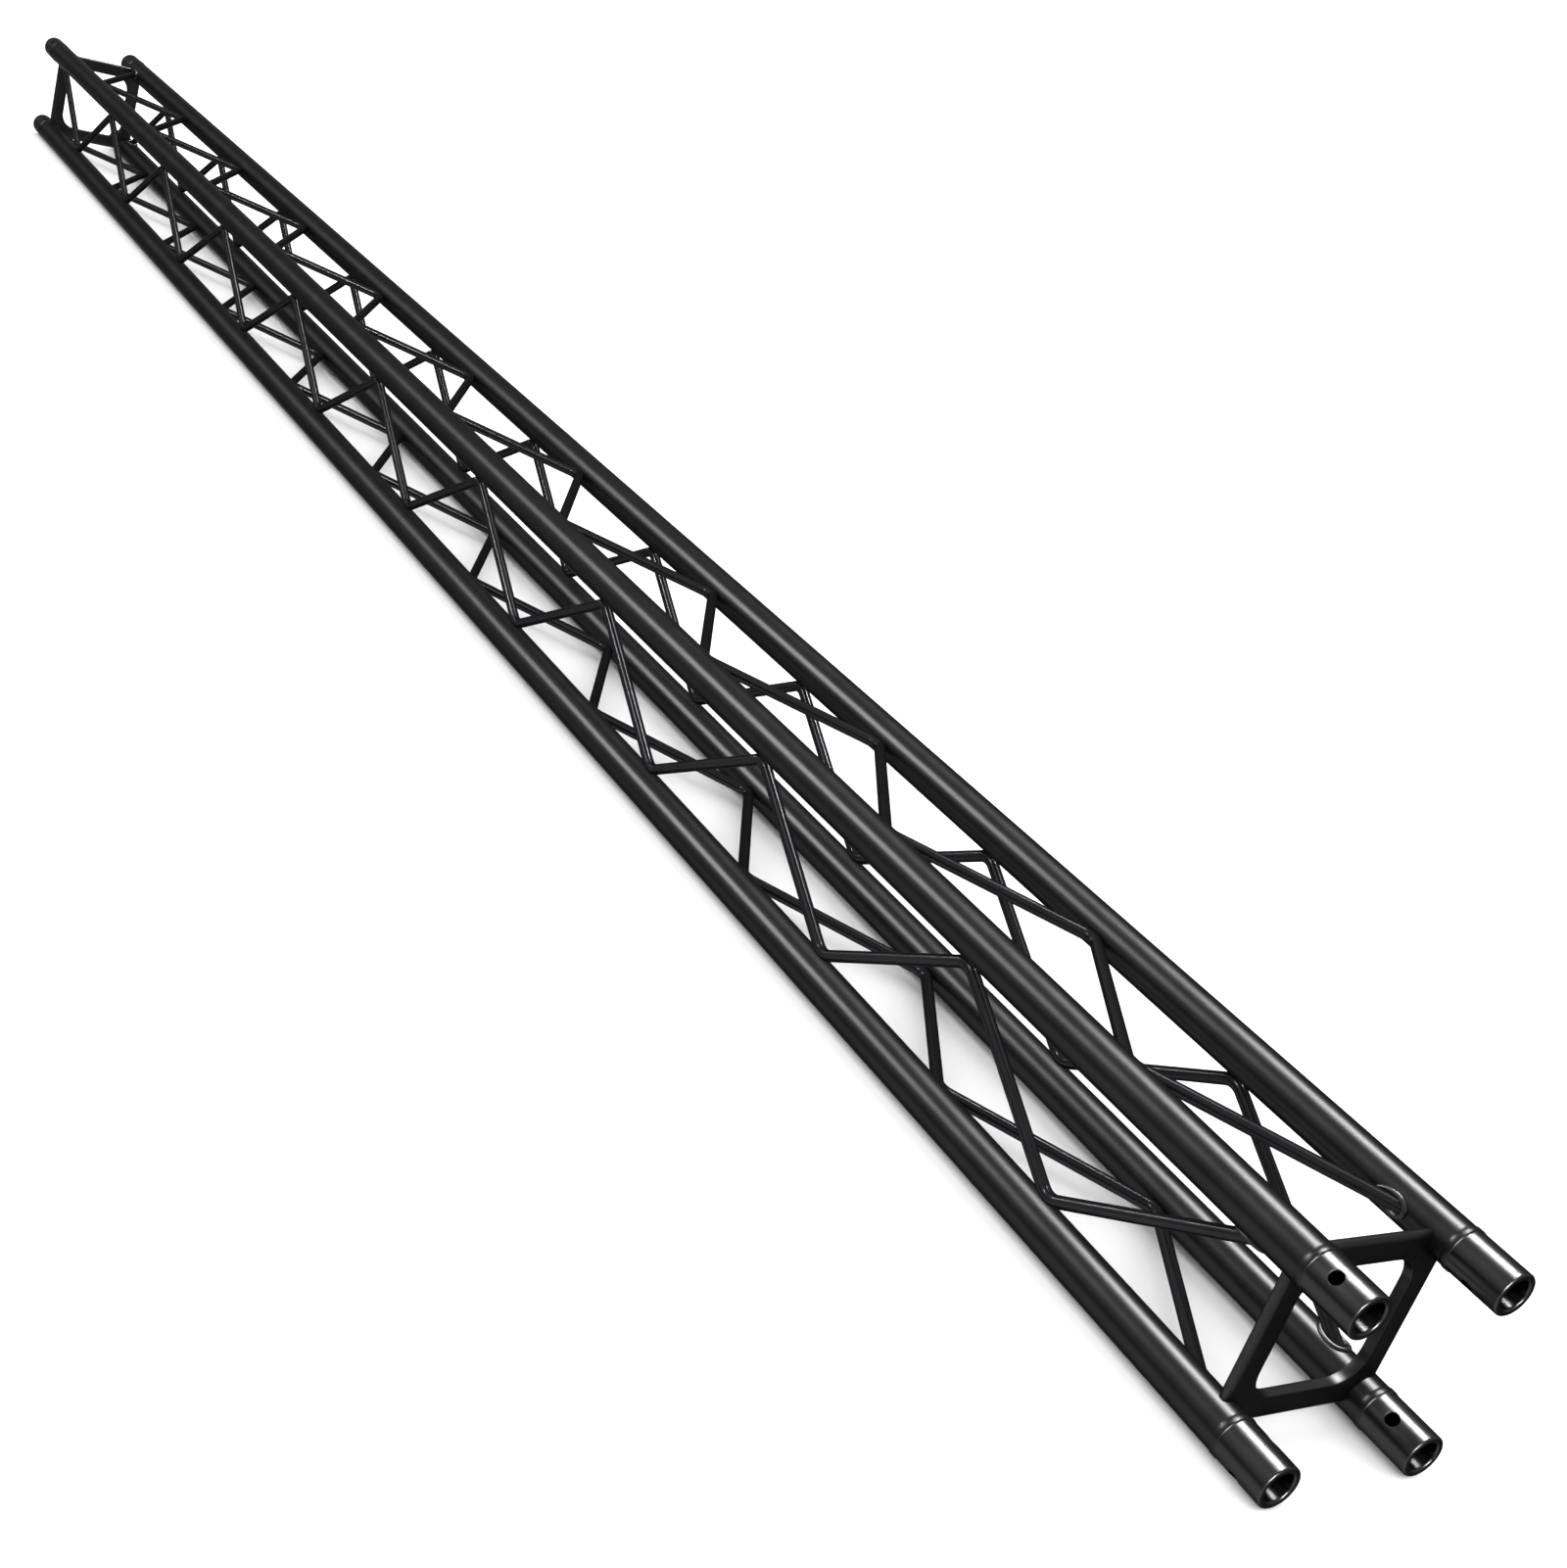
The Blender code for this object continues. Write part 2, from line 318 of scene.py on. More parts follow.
def loft(name, rings, closed):
    """Mesh through rings of equal length.

    Closed joins the last ring to the first. Otherwise both get caps.
    """
    count = len(rings[0])
    shape = bmesh.new()
    rows = [[shape.verts.new(point) for point in ring] for ring in rings]
    pairs = list(zip(rows, rows[1:]))
    if closed:
        pairs.append((rows[-1], rows[0]))
    for lower, upper in pairs:
        for i in range(count):
            after = (i + 1) % count
            shape.faces.new((lower[i], lower[after], upper[after], upper[i]))
    if not closed:
        shape.faces.new(list(reversed(rows[0])))
        shape.faces.new(rows[-1])
    bmesh.ops.recalc_face_normals(shape, faces=shape.faces)
    mesh = bpy.data.meshes.new(name)
    shape.to_mesh(mesh)
    shape.free()
    return mesh


def turned(name, profile):
    """Ring-shaped solid from a closed (radius, height) profile, turned about Z."""
    rings = []
    for radius, height in profile:
        rings.append([(radius * c, radius * s, height) for c, s in circle(ROUND_STEPS)])
    return loft(name, rings, closed=True)


def smooth(mesh, sharp_angle):
    """Shades the mesh smooth but for its sharp edges."""
    mesh.shade_smooth()
    mesh.set_sharp_from_angle(angle=math.radians(sharp_angle))


def store(mesh, name, amount):
    """Stores an amount for each vertex, 0 to 1, for the coating to read."""
    layer = mesh.attributes.new(name, "FLOAT", "POINT")
    for vertex in mesh.vertices:
        layer.data[vertex.index].value = amount(vertex.co)


def strip(value, centre, half_width):
    """1 at the centre, falling to 0 at half_width on each side."""
    return max(0.0, 1.0 - abs(value - centre) / half_width)


def baked(obj):
    """The object's mesh with its modifiers applied, the object itself being removed."""
    bpy.context.view_layer.update()
    depsgraph = bpy.context.evaluated_depsgraph_get()
    mesh = bpy.data.meshes.new_from_object(obj.evaluated_get(depsgraph))
    bpy.data.objects.remove(obj, do_unlink=True)
    return mesh


def temporary(mesh, matrix):
    obj = bpy.data.objects.new(mesh.name, mesh)
    bpy.context.scene.collection.objects.link(obj)
    obj.matrix_world = matrix
    return obj


def drilled(mesh, cutters):
    """The mesh with every (mesh, matrix) cutter taken out of it."""
    target = temporary(mesh, Matrix.Identity(4))
    tools = [temporary(cutter, matrix) for cutter, matrix in cutters]
    for tool in tools:
        boolean = target.modifiers.new("cut", "BOOLEAN")
        boolean.operation = "DIFFERENCE"
        boolean.solver = "EXACT"
        boolean.object = tool
    result = baked(target)
    for tool in tools:
        bpy.data.objects.remove(tool, do_unlink=True)
    return result


# ---------------------------------------------------------------- chords and sleeves


def chord_mesh():
    """A chord tube along Z, reaching the weld collars at both ends."""
    half = LENGTH / 2 - CHORD_SETBACK
    inner = CHORD_RADIUS - CHORD_WALL
    profile = [(CHORD_RADIUS, half), (CHORD_RADIUS, -half), (inner, -half), (inner, half)]
    mesh = turned("chord_tube", profile)
    smooth(mesh, TUBE_SHARP)
    return mesh


def shoulder(start, stop, low, high):
    """Points on a smooth step between two radii, start and stop being its places along the axis."""
    points = []
    for step in range(SHOULDER_STEPS + 1):
        share = step / SHOULDER_STEPS
        rise = share * share * (3 - 2 * share)
        points.append((low + (high - low) * rise, start + (stop - start) * share))
    return points


def collar_mesh():
    """The weld collar between a sleeve and its chord: a low flat band, crisper at the back."""
    crest = CHORD_RADIUS + COLLAR_RISE
    inner = CHORD_RADIUS - CHORD_WALL
    front, back = -COLLAR_START, -COLLAR_END
    profile = shoulder(front, front - COLLAR_FRONT, CHORD_RADIUS, crest)
    profile += shoulder(back + COLLAR_BACK, back, crest, CHORD_RADIUS)
    profile += [(CHORD_RADIUS, -CHORD_SETBACK), (inner, -CHORD_SETBACK), (inner, front)]
    mesh = turned("collar", profile)
    smooth(mesh, COLLAR_SHARP)
    return mesh


def sleeve_profile():
    """Closed half section of a sleeve, its mouth at Z = 0."""
    spigot_end = -(CHORD_SETBACK + SPIGOT_LENGTH)
    spigot_radius = CHORD_RADIUS - CHORD_WALL
    outer_centre = (CHORD_RADIUS - MOUTH_OUTER_ROUND, -MOUTH_OUTER_ROUND)
    inner_centre = (SOCKET_MOUTH_RADIUS + MOUTH_INNER_ROUND, -MOUTH_INNER_ROUND)
    socket = [
        (CHORD_RADIUS, -COLLAR_START),
        (spigot_radius, -COLLAR_START),
        (spigot_radius, spigot_end),
        (SOCKET_INNER_RADIUS, spigot_end),
        (SOCKET_INNER_RADIUS, -SOCKET_TAPER_LENGTH),
    ]
    # Rings at these depths carry the painted shade down the socket
    for depth in (SOCKET_DARK, SOCKET_DIM):
        taper = (SOCKET_MOUTH_RADIUS - SOCKET_INNER_RADIUS) * depth / SOCKET_TAPER_LENGTH
        socket.append((SOCKET_MOUTH_RADIUS - taper, -depth))
    return (
        arc(outer_centre, MOUTH_OUTER_ROUND, 90, 0, LIP_STEPS)
        + socket
        + arc(inner_centre, MOUTH_INNER_ROUND, 180, 90, LIP_STEPS)
    )


def pin_drill_mesh():
    """Drill for the cross hole along Z, flared to round the hole's edge where it breaks out."""
    levels = [(DRILL_END_FLARE, -DRILL_OVERSHOOT)]
    for step in range(PIN_HOLE_EDGE_STEPS + 1):
        angle = math.radians(90 * step / PIN_HOLE_EDGE_STEPS)
        flare = PIN_HOLE_EDGE * (1 - math.sin(angle))
        depth = PIN_HOLE_EDGE * (1 - math.cos(angle))
        levels.append((flare, depth))
    rings = []
    for side, ordered in ((1, levels), (-1, reversed(levels))):
        for flare, depth in ordered:
            radius = PIN_HOLE_RADIUS + flare
            ring = []
            for c, s in circle(PIN_HOLE_STEPS):
                across = radius * s
                height = math.sqrt(CHORD_RADIUS**2 - across**2) - depth
                ring.append((radius * c, across, side * height))
            rings.append(ring)
    return loft("pin_drill", rings, closed=False)


def sleeve_wear(point):
    """Bare metal starts to show on the mouth's lips and round the cross hole."""
    radius = math.hypot(point.x, point.y)
    across = math.hypot(point.z + PIN_HOLE_SETBACK, point.y)
    at_lips = max(strip(radius, *OUTER_LIP_STRIP), strip(radius, *INNER_LIP_STRIP))
    on_lip = strip(point.z, *MOUTH_STRIP) * at_lips
    at_hole = strip(across, *PIN_HOLE_STRIP) if radius > OUTSIDE_FROM else 0.0
    return SLEEVE_WEAR * max(on_lip, at_hole)


def sleeve_painted_shade(point):
    """Painted shade: the cross hole is painted black, and the socket is painted darker with depth.
    """
    radius = math.hypot(point.x, point.y)
    across = math.hypot(point.z + PIN_HOLE_SETBACK, point.y)
    if across < PIN_HOLE_RADIUS + PIN_HOLE_MARGIN and radius < CHORD_RADIUS - WALL_MARGIN:
        return 1.0
    if radius > SOCKET_MOUTH_RADIUS + WALL_MARGIN:
        return 0.0
    depth = max(0.0, -point.z - MOUTH_INNER_ROUND)
    darker = (1 - SOCKET_LIP_PAINTED_SHADE) * depth / (SOCKET_DARK - MOUTH_INNER_ROUND)
    return min(1.0, SOCKET_LIP_PAINTED_SHADE + darker)


def round_normals(mesh):
    """Gives the sleeve's plain outside radial normals, so that the drilled hole leaves no mark."""
    normals = [corner.vector.copy() for corner in mesh.corner_normals]
    for polygon in mesh.polygons:
        for loop in polygon.loop_indices:
            place = mesh.vertices[mesh.loops[loop].vertex_index].co
            radial = Vector((place.x, place.y, 0))
            on_outside = abs(radial.length - CHORD_RADIUS) < SURFACE_MARGIN
            if on_outside and polygon.normal.dot(radial.normalized()) > ALONG_THE_RADIUS:
                normals[loop] = radial.normalized()
    mesh.normals_split_custom_set(normals)


def sleeve_mesh():
    """A sleeve with its mouth at Z = 0 and its cross hole along X."""
    across = Matrix.Rotation(math.pi / 2, 4, "Y")
    drill_place = Matrix.Translation((0, 0, -PIN_HOLE_SETBACK)) @ across
    mesh = drilled(turned("sleeve", sleeve_profile()), [(pin_drill_mesh(), drill_place)])
    smooth(mesh, SLEEVE_SHARP)
    round_normals(mesh)
    store(mesh, "wear", sleeve_wear)
    # Painted shade: black in the cross hole and darker down the socket
    store(mesh, "shade", sleeve_painted_shade)
    return mesh


# ---------------------------------------------------------------- end frames


def rounded_square(side, radius, height):
    """Points round a square with rounded corners, at one height."""
    inset = side / 2 - radius
    points = []
    for quarter, (right, up) in enumerate(QUARTERS):
        start, centre = 90 * quarter, (right * inset, up * inset)
        for x, y in arc(centre, radius, start, start + 90, WINDOW_CORNER_STEPS):
            points.append((x, y, height))
    return points


def plate_mesh():
    """A square plate with round outer sides, lofted from square rings."""
    edge = END_FRAME_EDGE_ROUND
    half = END_FRAME_THICKNESS / 2
    flat = half - edge
    section = [(-edge, -half)]
    section += arc((-edge, -flat), edge, -90, 0, FRAME_EDGE_STEPS)[1:]
    section += arc((-edge, flat), edge, 0, 90, FRAME_EDGE_STEPS)
    rings = []
    for inset, height in section:
        reach = END_FRAME_SIDE / 2 + inset
        rings.append([(right * reach, up * reach, height) for right, up in QUARTERS])
    return loft("end_frame", rings, closed=False)


def window_mesh():
    """The end frame's opening as a solid, flared at both faces to break its edges."""
    half = END_FRAME_THICKNESS / 2
    edge_centre = (WINDOW_EDGE, -half + WINDOW_EDGE)
    levels = [(WINDOW_EDGE, -half - WINDOW_OVERSHOOT)]
    levels += arc(edge_centre, WINDOW_EDGE, 270, 180, WINDOW_EDGE_STEPS)
    levels += [(flare, -height) for flare, height in reversed(levels)]
    rings = []
    for flare, height in levels:
        side = END_FRAME_OPENING + 2 * flare
        rings.append(rounded_square(side, END_FRAME_CORNER_RADIUS + flare, height))
    return loft("end_frame_window", rings, closed=False)


def chord_room_mesh():
    """The room that a chord takes out of an end frame."""
    rings = []
    for height in (-CHORD_ROOM_REACH, CHORD_ROOM_REACH):
        radius = CHORD_ROOM_RADIUS
        rings.append([(radius * c, radius * s, height) for c, s in circle(ROUND_STEPS)])
    return loft("chord_room", rings, closed=False)


def frame_wear(point):
    """Worn a little along the outer sides."""
    return FRAME_WEAR * strip(max(abs(point.x), abs(point.y)), *FRAME_RIM_STRIP)


def end_frame_mesh():
    """An end frame in the XY plane, coped round the four chords."""
    cutters = [(window_mesh(), Matrix.Identity(4))]
    for side, level in CORNERS.values():
        place = Matrix.Translation((side * HALF_SPACING, level * HALF_SPACING, 0))
        cutters.append((chord_room_mesh(), place))
    mesh = drilled(plate_mesh(), cutters)
    smooth(mesh, FRAME_SHARP)
    store(mesh, "wear", frame_wear)
    return mesh


# ---------------------------------------------------------------- lacing


def lacing_bends():
    """The top rod's corners about the section's axis, from back to front, before rounding."""
    pitch = 2 * LACING_HALF_LENGTH / LACING_RUNS
    touch = HALF_SPACING - CHORD_RADIUS - ROD_RADIUS - ROD_CLEARANCE
    slope = math.atan2(2 * touch, pitch)
    for _ in range(SLOPE_PASSES):
        reach = touch + LACING_BEND_RADIUS * (1 / math.cos(slope) - 1)
        slope = math.atan2(2 * reach, pitch)
    bends = []
    for index in range(LACING_RUNS + 1):
        side = 1 if index % 2 == 0 else -1
        bends.append(Vector((-LACING_HALF_LENGTH + index * pitch, side * reach, HALF_SPACING)))
    return bends


def rounded_bend(before, bend, after):
    """Points on the arc that rounds the corner at bend."""
    inward = (before - bend).normalized()
    outward = (after - bend).normalized()
    half_angle = inward.angle(outward) / 2
    centre = bend + (inward + outward).normalized() * LACING_BEND_RADIUS / math.sin(half_angle)
    start = bend + inward * LACING_BEND_RADIUS / math.tan(half_angle) - centre
    axis = start.cross(bend - centre).normalized()
    sweep = math.pi - 2 * half_angle
    points = []
    for step in range(BEND_STEPS + 1):
        turn = Matrix.Rotation(sweep * step / BEND_STEPS, 3, axis)
        points.append(centre + turn @ start)
    return points


def lacing_mesh():
    """The bent rod of the top side, its ends running into the chord that they are welded to."""
    bends = lacing_bends()
    path = [bends[0] + (bends[0] - bends[1]).normalized() * ROD_OVERRUN]
    for before, bend, after in zip(bends, bends[1:], bends[2:]):
        path += rounded_bend(before, bend, after)
    path.append(bends[-1] + (bends[-1] - bends[-2]).normalized() * ROD_OVERRUN)
    up = Vector((0, 0, 1))
    rings = []
    for index, point in enumerate(path):
        earlier = path[max(index - 1, 0)]
        later = path[min(index + 1, len(path) - 1)]
        across = up.cross(later - earlier).normalized()
        rings.append([point + (across * c + up * s) * ROD_RADIUS for c, s in circle(ROD_STEPS)])
    mesh = loft("lacing_rod", rings, closed=False)
    smooth(mesh, ROD_SHARP)
    return mesh


def weld_seam(end):
    """The loop on the chord's surface where a ring round the rod meets it, and the chord's axis."""
    bends = lacing_bends()
    tip, inside = (bends[-1], bends[-2]) if end > 0 else (bends[0], bends[1])
    along = (tip - inside).normalized()
    up = Vector((0, 0, 1))
    across = up.cross(along).normalized()
    chord_axis = Vector((0, math.copysign(HALF_SPACING, tip.y), HALF_SPACING))
    seam = []
    for c, s in circle(BEAD_STEPS):
        start = inside + (across * c + up * s) * BEAD_RING_RADIUS
        rise = start.z - chord_axis.z
        reach = math.sqrt((CHORD_RADIUS + BEAD_LIFT) ** 2 - rise**2)
        seam_y = chord_axis.y - math.copysign(reach, chord_axis.y)
        seam.append(start + along * ((seam_y - start.y) / along.y))
    return seam, chord_axis


def weld_bead_mesh(end):
    """The raised ring of weld round a rod, where it runs into its chord."""
    seam, chord_axis = weld_seam(end)
    rings = []
    for index, point in enumerate(seam):
        ahead = (seam[(index + 1) % BEAD_STEPS] - seam[index - 1]).normalized()
        ripple = 1 + BEAD_RIPPLE * math.cos(2 * math.pi * BEAD_RIPPLES * index / BEAD_STEPS)
        outward = point - Vector((point.x, chord_axis.y, chord_axis.z))
        outward = (outward - ahead * outward.dot(ahead)).normalized()
        beside = ahead.cross(outward)
        ring = []
        for c, s in circle(BEAD_ROUND_STEPS):
            ring.append(point + (outward * c + beside * s) * BEAD_RADIUS * ripple)
        rings.append(ring)
    mesh = loft("weld_bead", rings, closed=True)
    mesh.shade_smooth()
    return mesh


# ---------------------------------------------------------------- materials


class Nodes:
    """A node tree under construction, with short ways to add and join nodes."""

    def __init__(self, tree):
        self.tree = tree

    def add(self, kind, **values):
        node = self.tree.nodes.new(kind)
        for key, value in values.items():
            setattr(node, key, value)
        return node

    def join(self, output, target):
        self.tree.links.new(output, target)

    def put(self, value, target):
        """Joins an output to the target, or gives the target a plain value."""
        if isinstance(value, bpy.types.NodeSocket):
            self.join(value, target)
        else:
            target.default_value = value

    def attribute(self, name):
        return self.add("ShaderNodeAttribute", attribute_name=name).outputs["Fac"]

    def noise(self, cycles, stretch=(1, 1, 1), detail=3.0):
        """Noise in the piece's own space, in cycles per metre, stretched axis by axis."""
        mapping = self.add("ShaderNodeMapping")
        mapping.inputs["Scale"].default_value = stretch
        place = self.add("ShaderNodeTexCoord").outputs["Object"]
        self.join(place, mapping.inputs["Vector"])
        noise = self.add("ShaderNodeTexNoise")
        noise.inputs["Scale"].default_value = cycles
        noise.inputs["Detail"].default_value = detail
        self.join(mapping.outputs["Vector"], noise.inputs["Vector"])
        return noise.outputs["Fac"]

    def remap(self, value, low, high, start=0.3, stop=0.7, curve="LINEAR"):
        """Takes start to stop over to low to high. The usual start and stop suit noise."""
        node = self.add("ShaderNodeMapRange", interpolation_type=curve)
        node.inputs["From Min"].default_value = start
        node.inputs["From Max"].default_value = stop
        node.inputs["To Min"].default_value = low
        node.inputs["To Max"].default_value = high
        self.join(value, node.inputs["Value"])
        return node.outputs["Result"]

    def maths(self, operation, *values):
        node = self.add("ShaderNodeMath", operation=operation, use_clamp=True)
        for target, value in zip(node.inputs, values):
            self.put(value, target)
        return node.outputs["Value"]

    def mix(self, factor, first, second, kind="MIX"):
        node = self.add("ShaderNodeMix", data_type="RGBA", blend_type=kind)
        self.put(factor, node.inputs["Factor"])
        self.put(first, node.inputs["A"])
        self.put(second, node.inputs["B"])
        return node.outputs["Result"]

    def ramp(self, place, greys):
        """Grey by place, from (height, grey) pairs. Heights -1 to 1 are places 0 to 1."""
        node = self.add("ShaderNodeValToRGB")
        self.join(place, node.inputs["Fac"])
        while len(node.color_ramp.elements) < len(greys):
            node.color_ramp.elements.new(0.5)
        for element, (height, grey) in zip(node.color_ramp.elements, greys):
            element.position = (height + 1) / 2
            element.color = (grey, grey, grey, 1.0)
        return node.outputs["Color"]

    def bump(self, height, strength, distance, under=None):
        node = self.add("ShaderNodeBump")
        node.inputs["Strength"].default_value = strength
        node.inputs["Distance"].default_value = distance
        self.join(height, node.inputs["Height"])
        if under is not None:
            self.join(under, node.inputs["Normal"])
        return node.outputs["Normal"]


def new_material(name):
    """A new material, its nodes and its shader's inputs."""
    material = bpy.data.materials.new(name)
    material.use_nodes = True
    return material, Nodes(material.node_tree), material.node_tree.nodes["Principled BSDF"].inputs


def coating(name, colour, roughness, grain, metallic, edge_tint, peel):
    """Black coating with a fine grain, worn to bare metal, and darkened with painted shade where
    the mesh says so.
    """
    material, nodes, shader = new_material(name)
    patches = nodes.noise(PATCH_CYCLES, detail=4.0)
    lines = nodes.noise(LINE_CYCLES, stretch=grain, detail=2.0)
    speckle = nodes.noise(SPECKLE_CYCLES, detail=2.0)
    rubbing = nodes.remap(nodes.noise(RUB_CYCLES, detail=4.0), RUB_LEAST, 1.0)
    rub = nodes.maths("MULTIPLY", nodes.attribute("wear"), rubbing)

    tone = nodes.remap(patches, 1 - PATCH_TONE, 1 + PATCH_TONE)
    coated = nodes.mix(1.0, (*colour, 1.0), tone, kind="MULTIPLY")
    worn = nodes.mix(rub, coated, (*BARE_METAL, 1.0))
    # Painted shade: the mesh's shade amount darkens the colour to black in the cross hole and deep
    # in the socket
    with_painted_shade = nodes.mix(nodes.attribute("shade"), worn, (0.0, 0.0, 0.0, 1.0))
    nodes.join(with_painted_shade, shader["Base Color"])
    nodes.join(nodes.remap(rub, metallic, 1.0, 0.0, 1.0), shader["Metallic"])

    patchy = nodes.remap(patches, roughness - PATCH_ROUGHNESS, roughness + PATCH_ROUGHNESS)
    lined = nodes.remap(lines, 0.0, peel * LINE_ROUGHNESS_SHARE)
    nodes.join(nodes.maths("ADD", patchy, lined), shader["Roughness"])
    shader["Specular Tint"].default_value = (edge_tint, edge_tint, edge_tint, 1.0)

    normal = nodes.bump(lines, peel * LINE_BUMP_SHARE, LINE_HEIGHT)
    normal = nodes.bump(speckle, peel, SPECKLE_HEIGHT, under=normal)
    nodes.join(normal, shader["Normal"])
    return material


def floor_material():
    material, nodes, shader = new_material("floor_paper")
    nodes.join(nodes.remap(nodes.noise(FLOOR_CYCLES), *FLOOR_TONE), shader["Base Color"])
    shader["Roughness"].default_value = FLOOR_ROUGHNESS
    shader["Specular IOR Level"].default_value = FLOOR_SPECULAR
    return material


# ---------------------------------------------------------------- assembly


def along_x(end=1):
    """Turns what was made along Z to point to that end of the section."""
    return Matrix.Rotation(end * math.pi / 2, 4, "Y")


def corner_place(corner, x=0.0):
    side, level = CORNERS[corner]
    return Matrix.Translation((x, side * HALF_SPACING, AXIS_HEIGHT + level * HALF_SPACING))


def add_piece(name, mesh, matrix, material, replaced=None):
    """Adds a copy of the mesh with its vertices already in place."""
    placed = mesh.copy()
    placed.name = name
    placed.transform(matrix)
    placed.materials.append(material)
    piece = bpy.data.objects.new(name, placed)
    bpy.context.scene.collection.objects.link(piece)
    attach(piece, "root")
    if replaced:
        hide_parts(replaced)


def add_chords(coat):
    mesh = chord_mesh()
    for corner in CORNERS:
        matrix = corner_place(corner) @ along_x()
        add_piece(f"tube_{corner}", mesh, matrix, coat, f"chord_{corner}")


def add_sleeves(sleeve_coat, collar_coat):
    sleeve, collar = sleeve_mesh(), collar_mesh()
    for end_name, end in ENDS.items():
        for corner, (side, level) in CORNERS.items():
            lean = Matrix.Rotation(math.radians(-45 * side * level), 4, "X")
            matrix = corner_place(corner, end * LENGTH / 2) @ lean @ along_x(end)
            name = f"{end_name}_{corner}"
            replaced = f"sleeve_{name}"
            add_piece(f"end_{name}", sleeve, matrix, sleeve_coat, replaced)
            add_piece(f"collar_{name}", collar, matrix, collar_coat, replaced)


def add_end_frames(coat):
    mesh = end_frame_mesh()
    for end_name, end in ENDS.items():
        place = Matrix.Translation((end * (LENGTH / 2 - END_FRAME_SETBACK), 0, AXIS_HEIGHT))
        name, replaced = f"plate_{end_name}", f"end_frame_{end_name}"
        add_piece(name, mesh, place @ along_x(end), coat, replaced)


def add_lacing(rod_coat, bead_coat):
    rod = lacing_mesh()
    beads = {name: weld_bead_mesh(end) for name, end in ENDS.items()}
    on_axis = Matrix.Translation((0, 0, AXIS_HEIGHT))
    for quarter, side in enumerate(SIDES):
        turn = on_axis @ Matrix.Rotation(quarter * math.pi / 2, 4, "X")
        add_piece(f"rod_{side}", rod, turn, rod_coat, f"lacing_{side}")
        for end_name, bead in beads.items():
            add_piece(f"weld_{side}_{end_name}", bead, turn, bead_coat)


# ---------------------------------------------------------------- stage


def add_floor():
    mesh = bpy.data.meshes.new("floor")
    corners = [(-1, -1), (1, -1), (1, 1), (-1, 1)]
    points = [(x * FLOOR_REACH, y * FLOOR_REACH, 0) for x, y in corners]
    mesh.from_pydata(points, [], [(0, 1, 2, 3)])
    floor = bpy.data.objects.new("floor", mesh)
    bpy.context.scene.collection.objects.link(floor)
    mesh.materials.append(floor_material())
    floor.visible_glossy = False
    return floor


def add_world():
    """An even white dome for the floor and the background, and a darker one in the reflections."""
    world = bpy.data.worlds.new("studio")
    bpy.context.scene.world = world
    world.use_nodes = True
    nodes = Nodes(world.node_tree)
    split = nodes.add("ShaderNodeSeparateXYZ")
    nodes.join(nodes.add("ShaderNodeTexCoord").outputs["Generated"], split.inputs["Vector"])
    along, across, up = (split.outputs[axis] for axis in "XYZ")

    height = nodes.remap(up, 0.0, 1.0, -1.0, 1.0)
    left = nodes.ramp(height, LEFT_REFLECTION)
    right = nodes.ramp(height, RIGHT_REFLECTION)
    sides = nodes.mix(nodes.remap(across, 0.0, 1.0, 0.0, RIGHT_FROM), left, right)

    endward = nodes.remap(nodes.maths("ABSOLUTE", along), 0.0, 1.0, *END_TAKES_OVER, "SMOOTHSTEP")
    haze = nodes.remap(across, END_LEFT, END_RIGHT, 0.0, END_RIGHT_FROM)
    dimming = nodes.remap(along, 1.0, END_FRONT_DIMMING, -END_FRONT_CHANGE, END_FRONT_CHANGE)
    studio = nodes.mix(endward, sides, nodes.maths("MULTIPLY", haze, dimming))

    in_reflection = nodes.add("ShaderNodeLightPath").outputs["Is Glossy Ray"]
    light = nodes.mix(in_reflection, DOME_WHITE, studio)
    nodes.join(light, world.node_tree.nodes["Background"].inputs["Color"])


def light_groups(pieces):
    """The pieces in collections, by which lamps light them."""
    groups = {name: bpy.data.collections.new(name) for name in (LIT, MOUTHS, RODS)}
    for piece in pieces:
        home = RODS if piece.name.startswith("rod_") else LIT
        groups[home].objects.link(piece)
        if piece.name.startswith(("end_", "collar_")):
            groups[MOUTHS].objects.link(piece)
    return groups


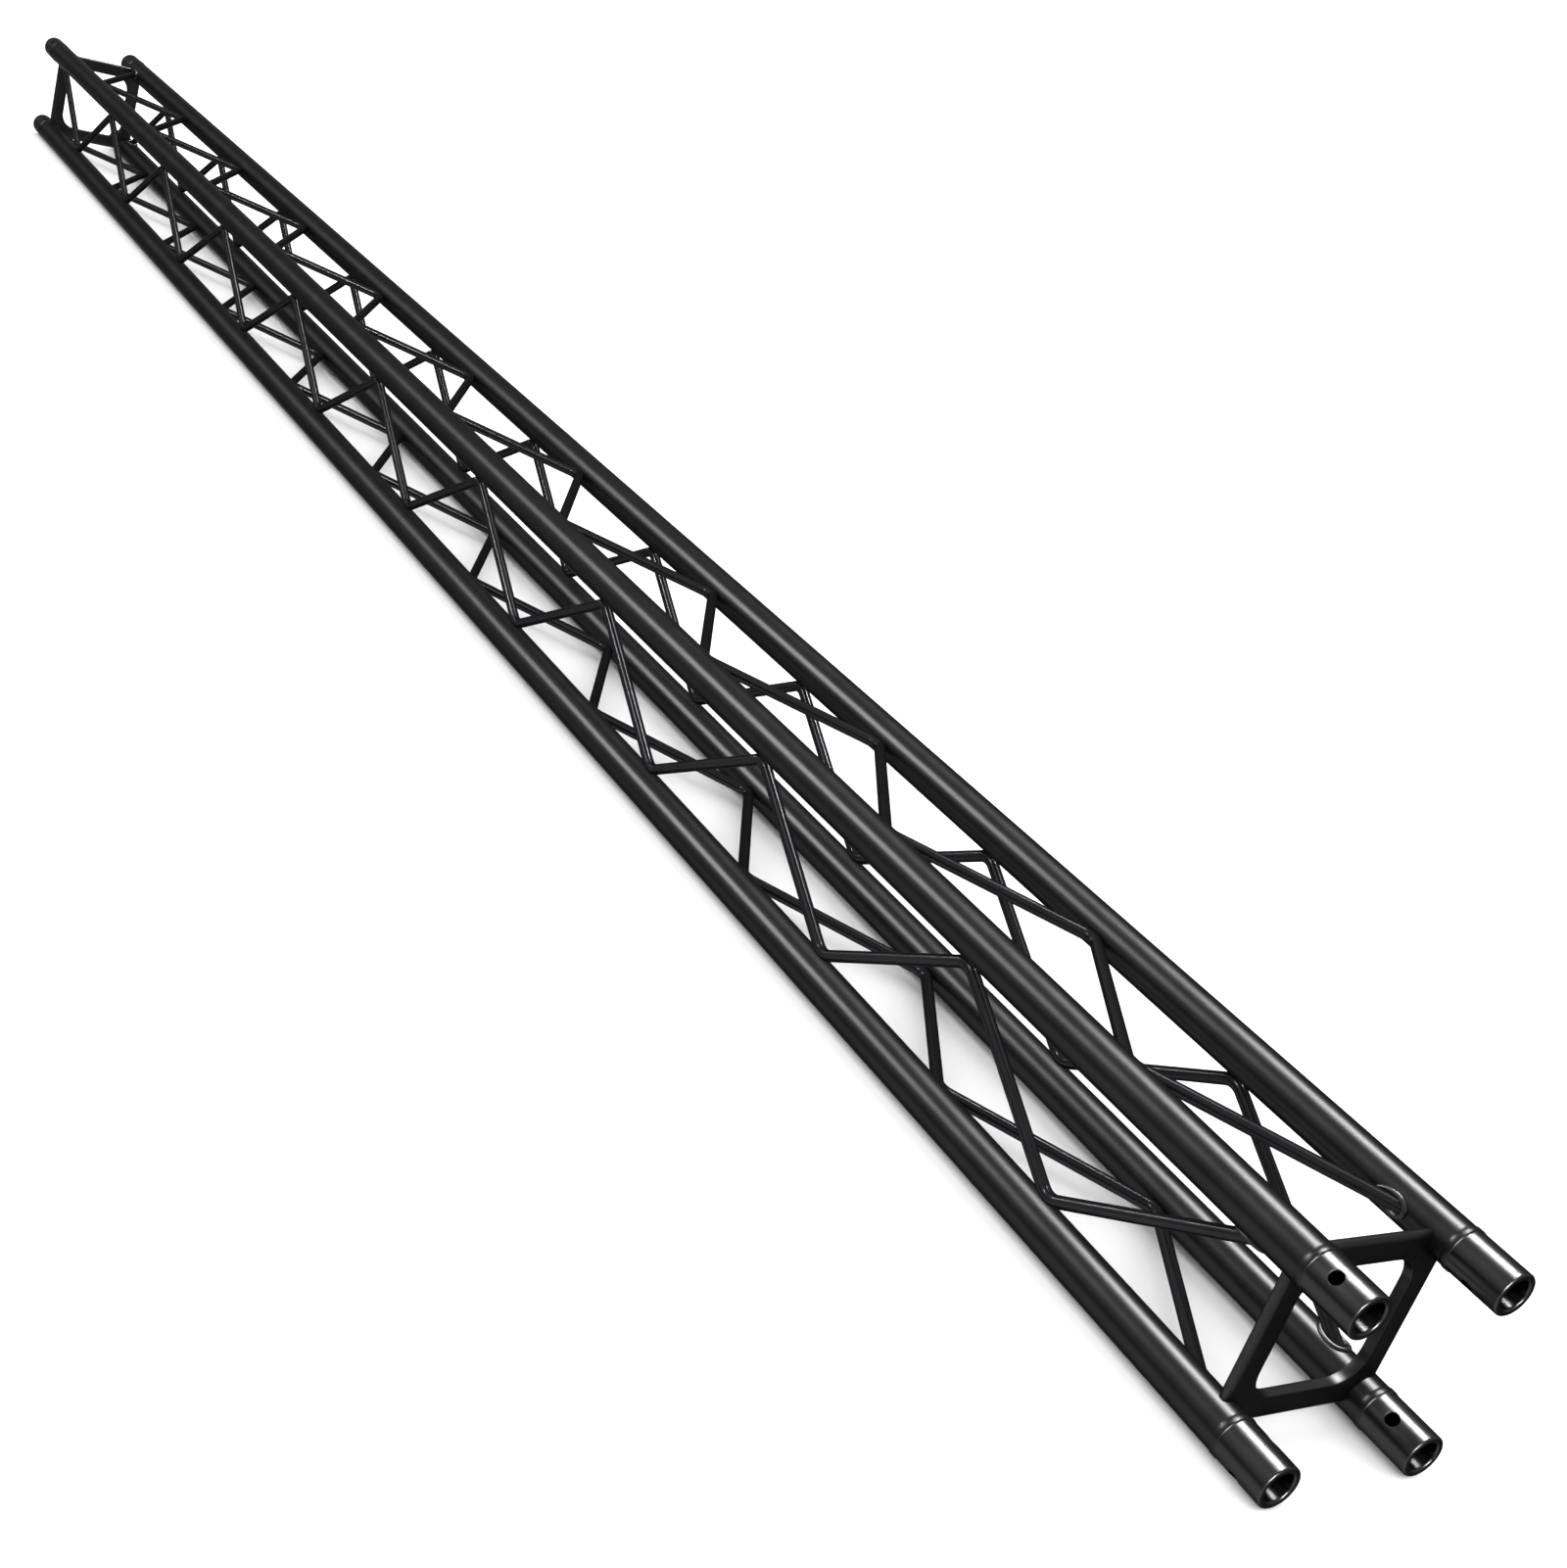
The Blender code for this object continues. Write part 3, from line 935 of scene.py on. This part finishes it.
def add_lamp(name, azimuth, elevation, size, radiance, lit, blockers):
    """Soft lamp far off in that direction, for one group. Only the blockers cast its shadows."""
    width, length = size
    light = bpy.data.lights.new(name, "AREA")
    light.shape = "RECTANGLE"
    light.size = width * LAMP_DISTANCE
    light.size_y = length * LAMP_DISTANCE
    light.energy = radiance * math.pi * light.size * light.size_y
    light.cycles.use_multiple_importance_sampling = False
    azimuth, elevation = math.radians(azimuth), math.radians(elevation)
    flat = math.cos(elevation)
    outward = Vector((flat * math.cos(azimuth), flat * math.sin(azimuth), math.sin(elevation)))
    around = Vector((1, 0, 0)).cross(outward).normalized()
    beside = around.cross(outward).normalized()
    facing = Matrix((beside, around, outward)).transposed().to_4x4()
    centre = Vector((0, 0, AXIS_HEIGHT)) + outward * LAMP_DISTANCE
    lamp = bpy.data.objects.new(name, light)
    bpy.context.scene.collection.objects.link(lamp)
    lamp.matrix_world = Matrix.Translation(centre) @ facing
    lamp.light_linking.receiver_collection = lit
    lamp.light_linking.blocker_collection = blockers


def add_lamps(pieces, floor):
    """The section's own lamps. Only the floor can block them, and they leave the floor unlit."""
    groups = light_groups(pieces)
    blockers = bpy.data.collections.new("blocks_lamps")
    blockers.objects.link(floor)
    for name, (azimuth, elevation, size, radiance, group) in LAMPS.items():
        add_lamp(name, azimuth, elevation, size, radiance, groups[group], blockers)


def add_camera():
    camera = bpy.data.cameras.new("camera")
    camera.sensor_fit = "HORIZONTAL"
    camera.sensor_width = CAMERA_SENSOR_WIDTH
    camera.lens = CAMERA_LENS
    camera.shift_x, camera.shift_y = CAMERA_SHIFT
    camera.clip_start = CAMERA_NEAR
    right, up = Vector(CAMERA_RIGHT), Vector(CAMERA_UP)
    facing = Matrix((right, up, right.cross(up))).transposed().to_4x4()
    obj = bpy.data.objects.new("camera", camera)
    bpy.context.scene.collection.objects.link(obj)
    obj.matrix_world = Matrix.Translation(CAMERA_PLACE) @ facing
    bpy.context.scene.camera = obj


def main():
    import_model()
    bpy.context.scene.view_settings.view_transform = "Standard"
    add_camera()

    coats = {name: coating(f"{name}_coat", **look) for name, look in COATS.items()}
    before = set(bpy.data.objects)
    add_chords(coats["tube"])
    add_sleeves(coats["sleeve"], coats["tube"])
    add_end_frames(coats["plate"])
    add_lacing(coats["rod"], coats["bead"])
    pieces = [obj for obj in bpy.data.objects if obj not in before]

    floor = add_floor()
    add_world()
    add_lamps(pieces, floor)


main()
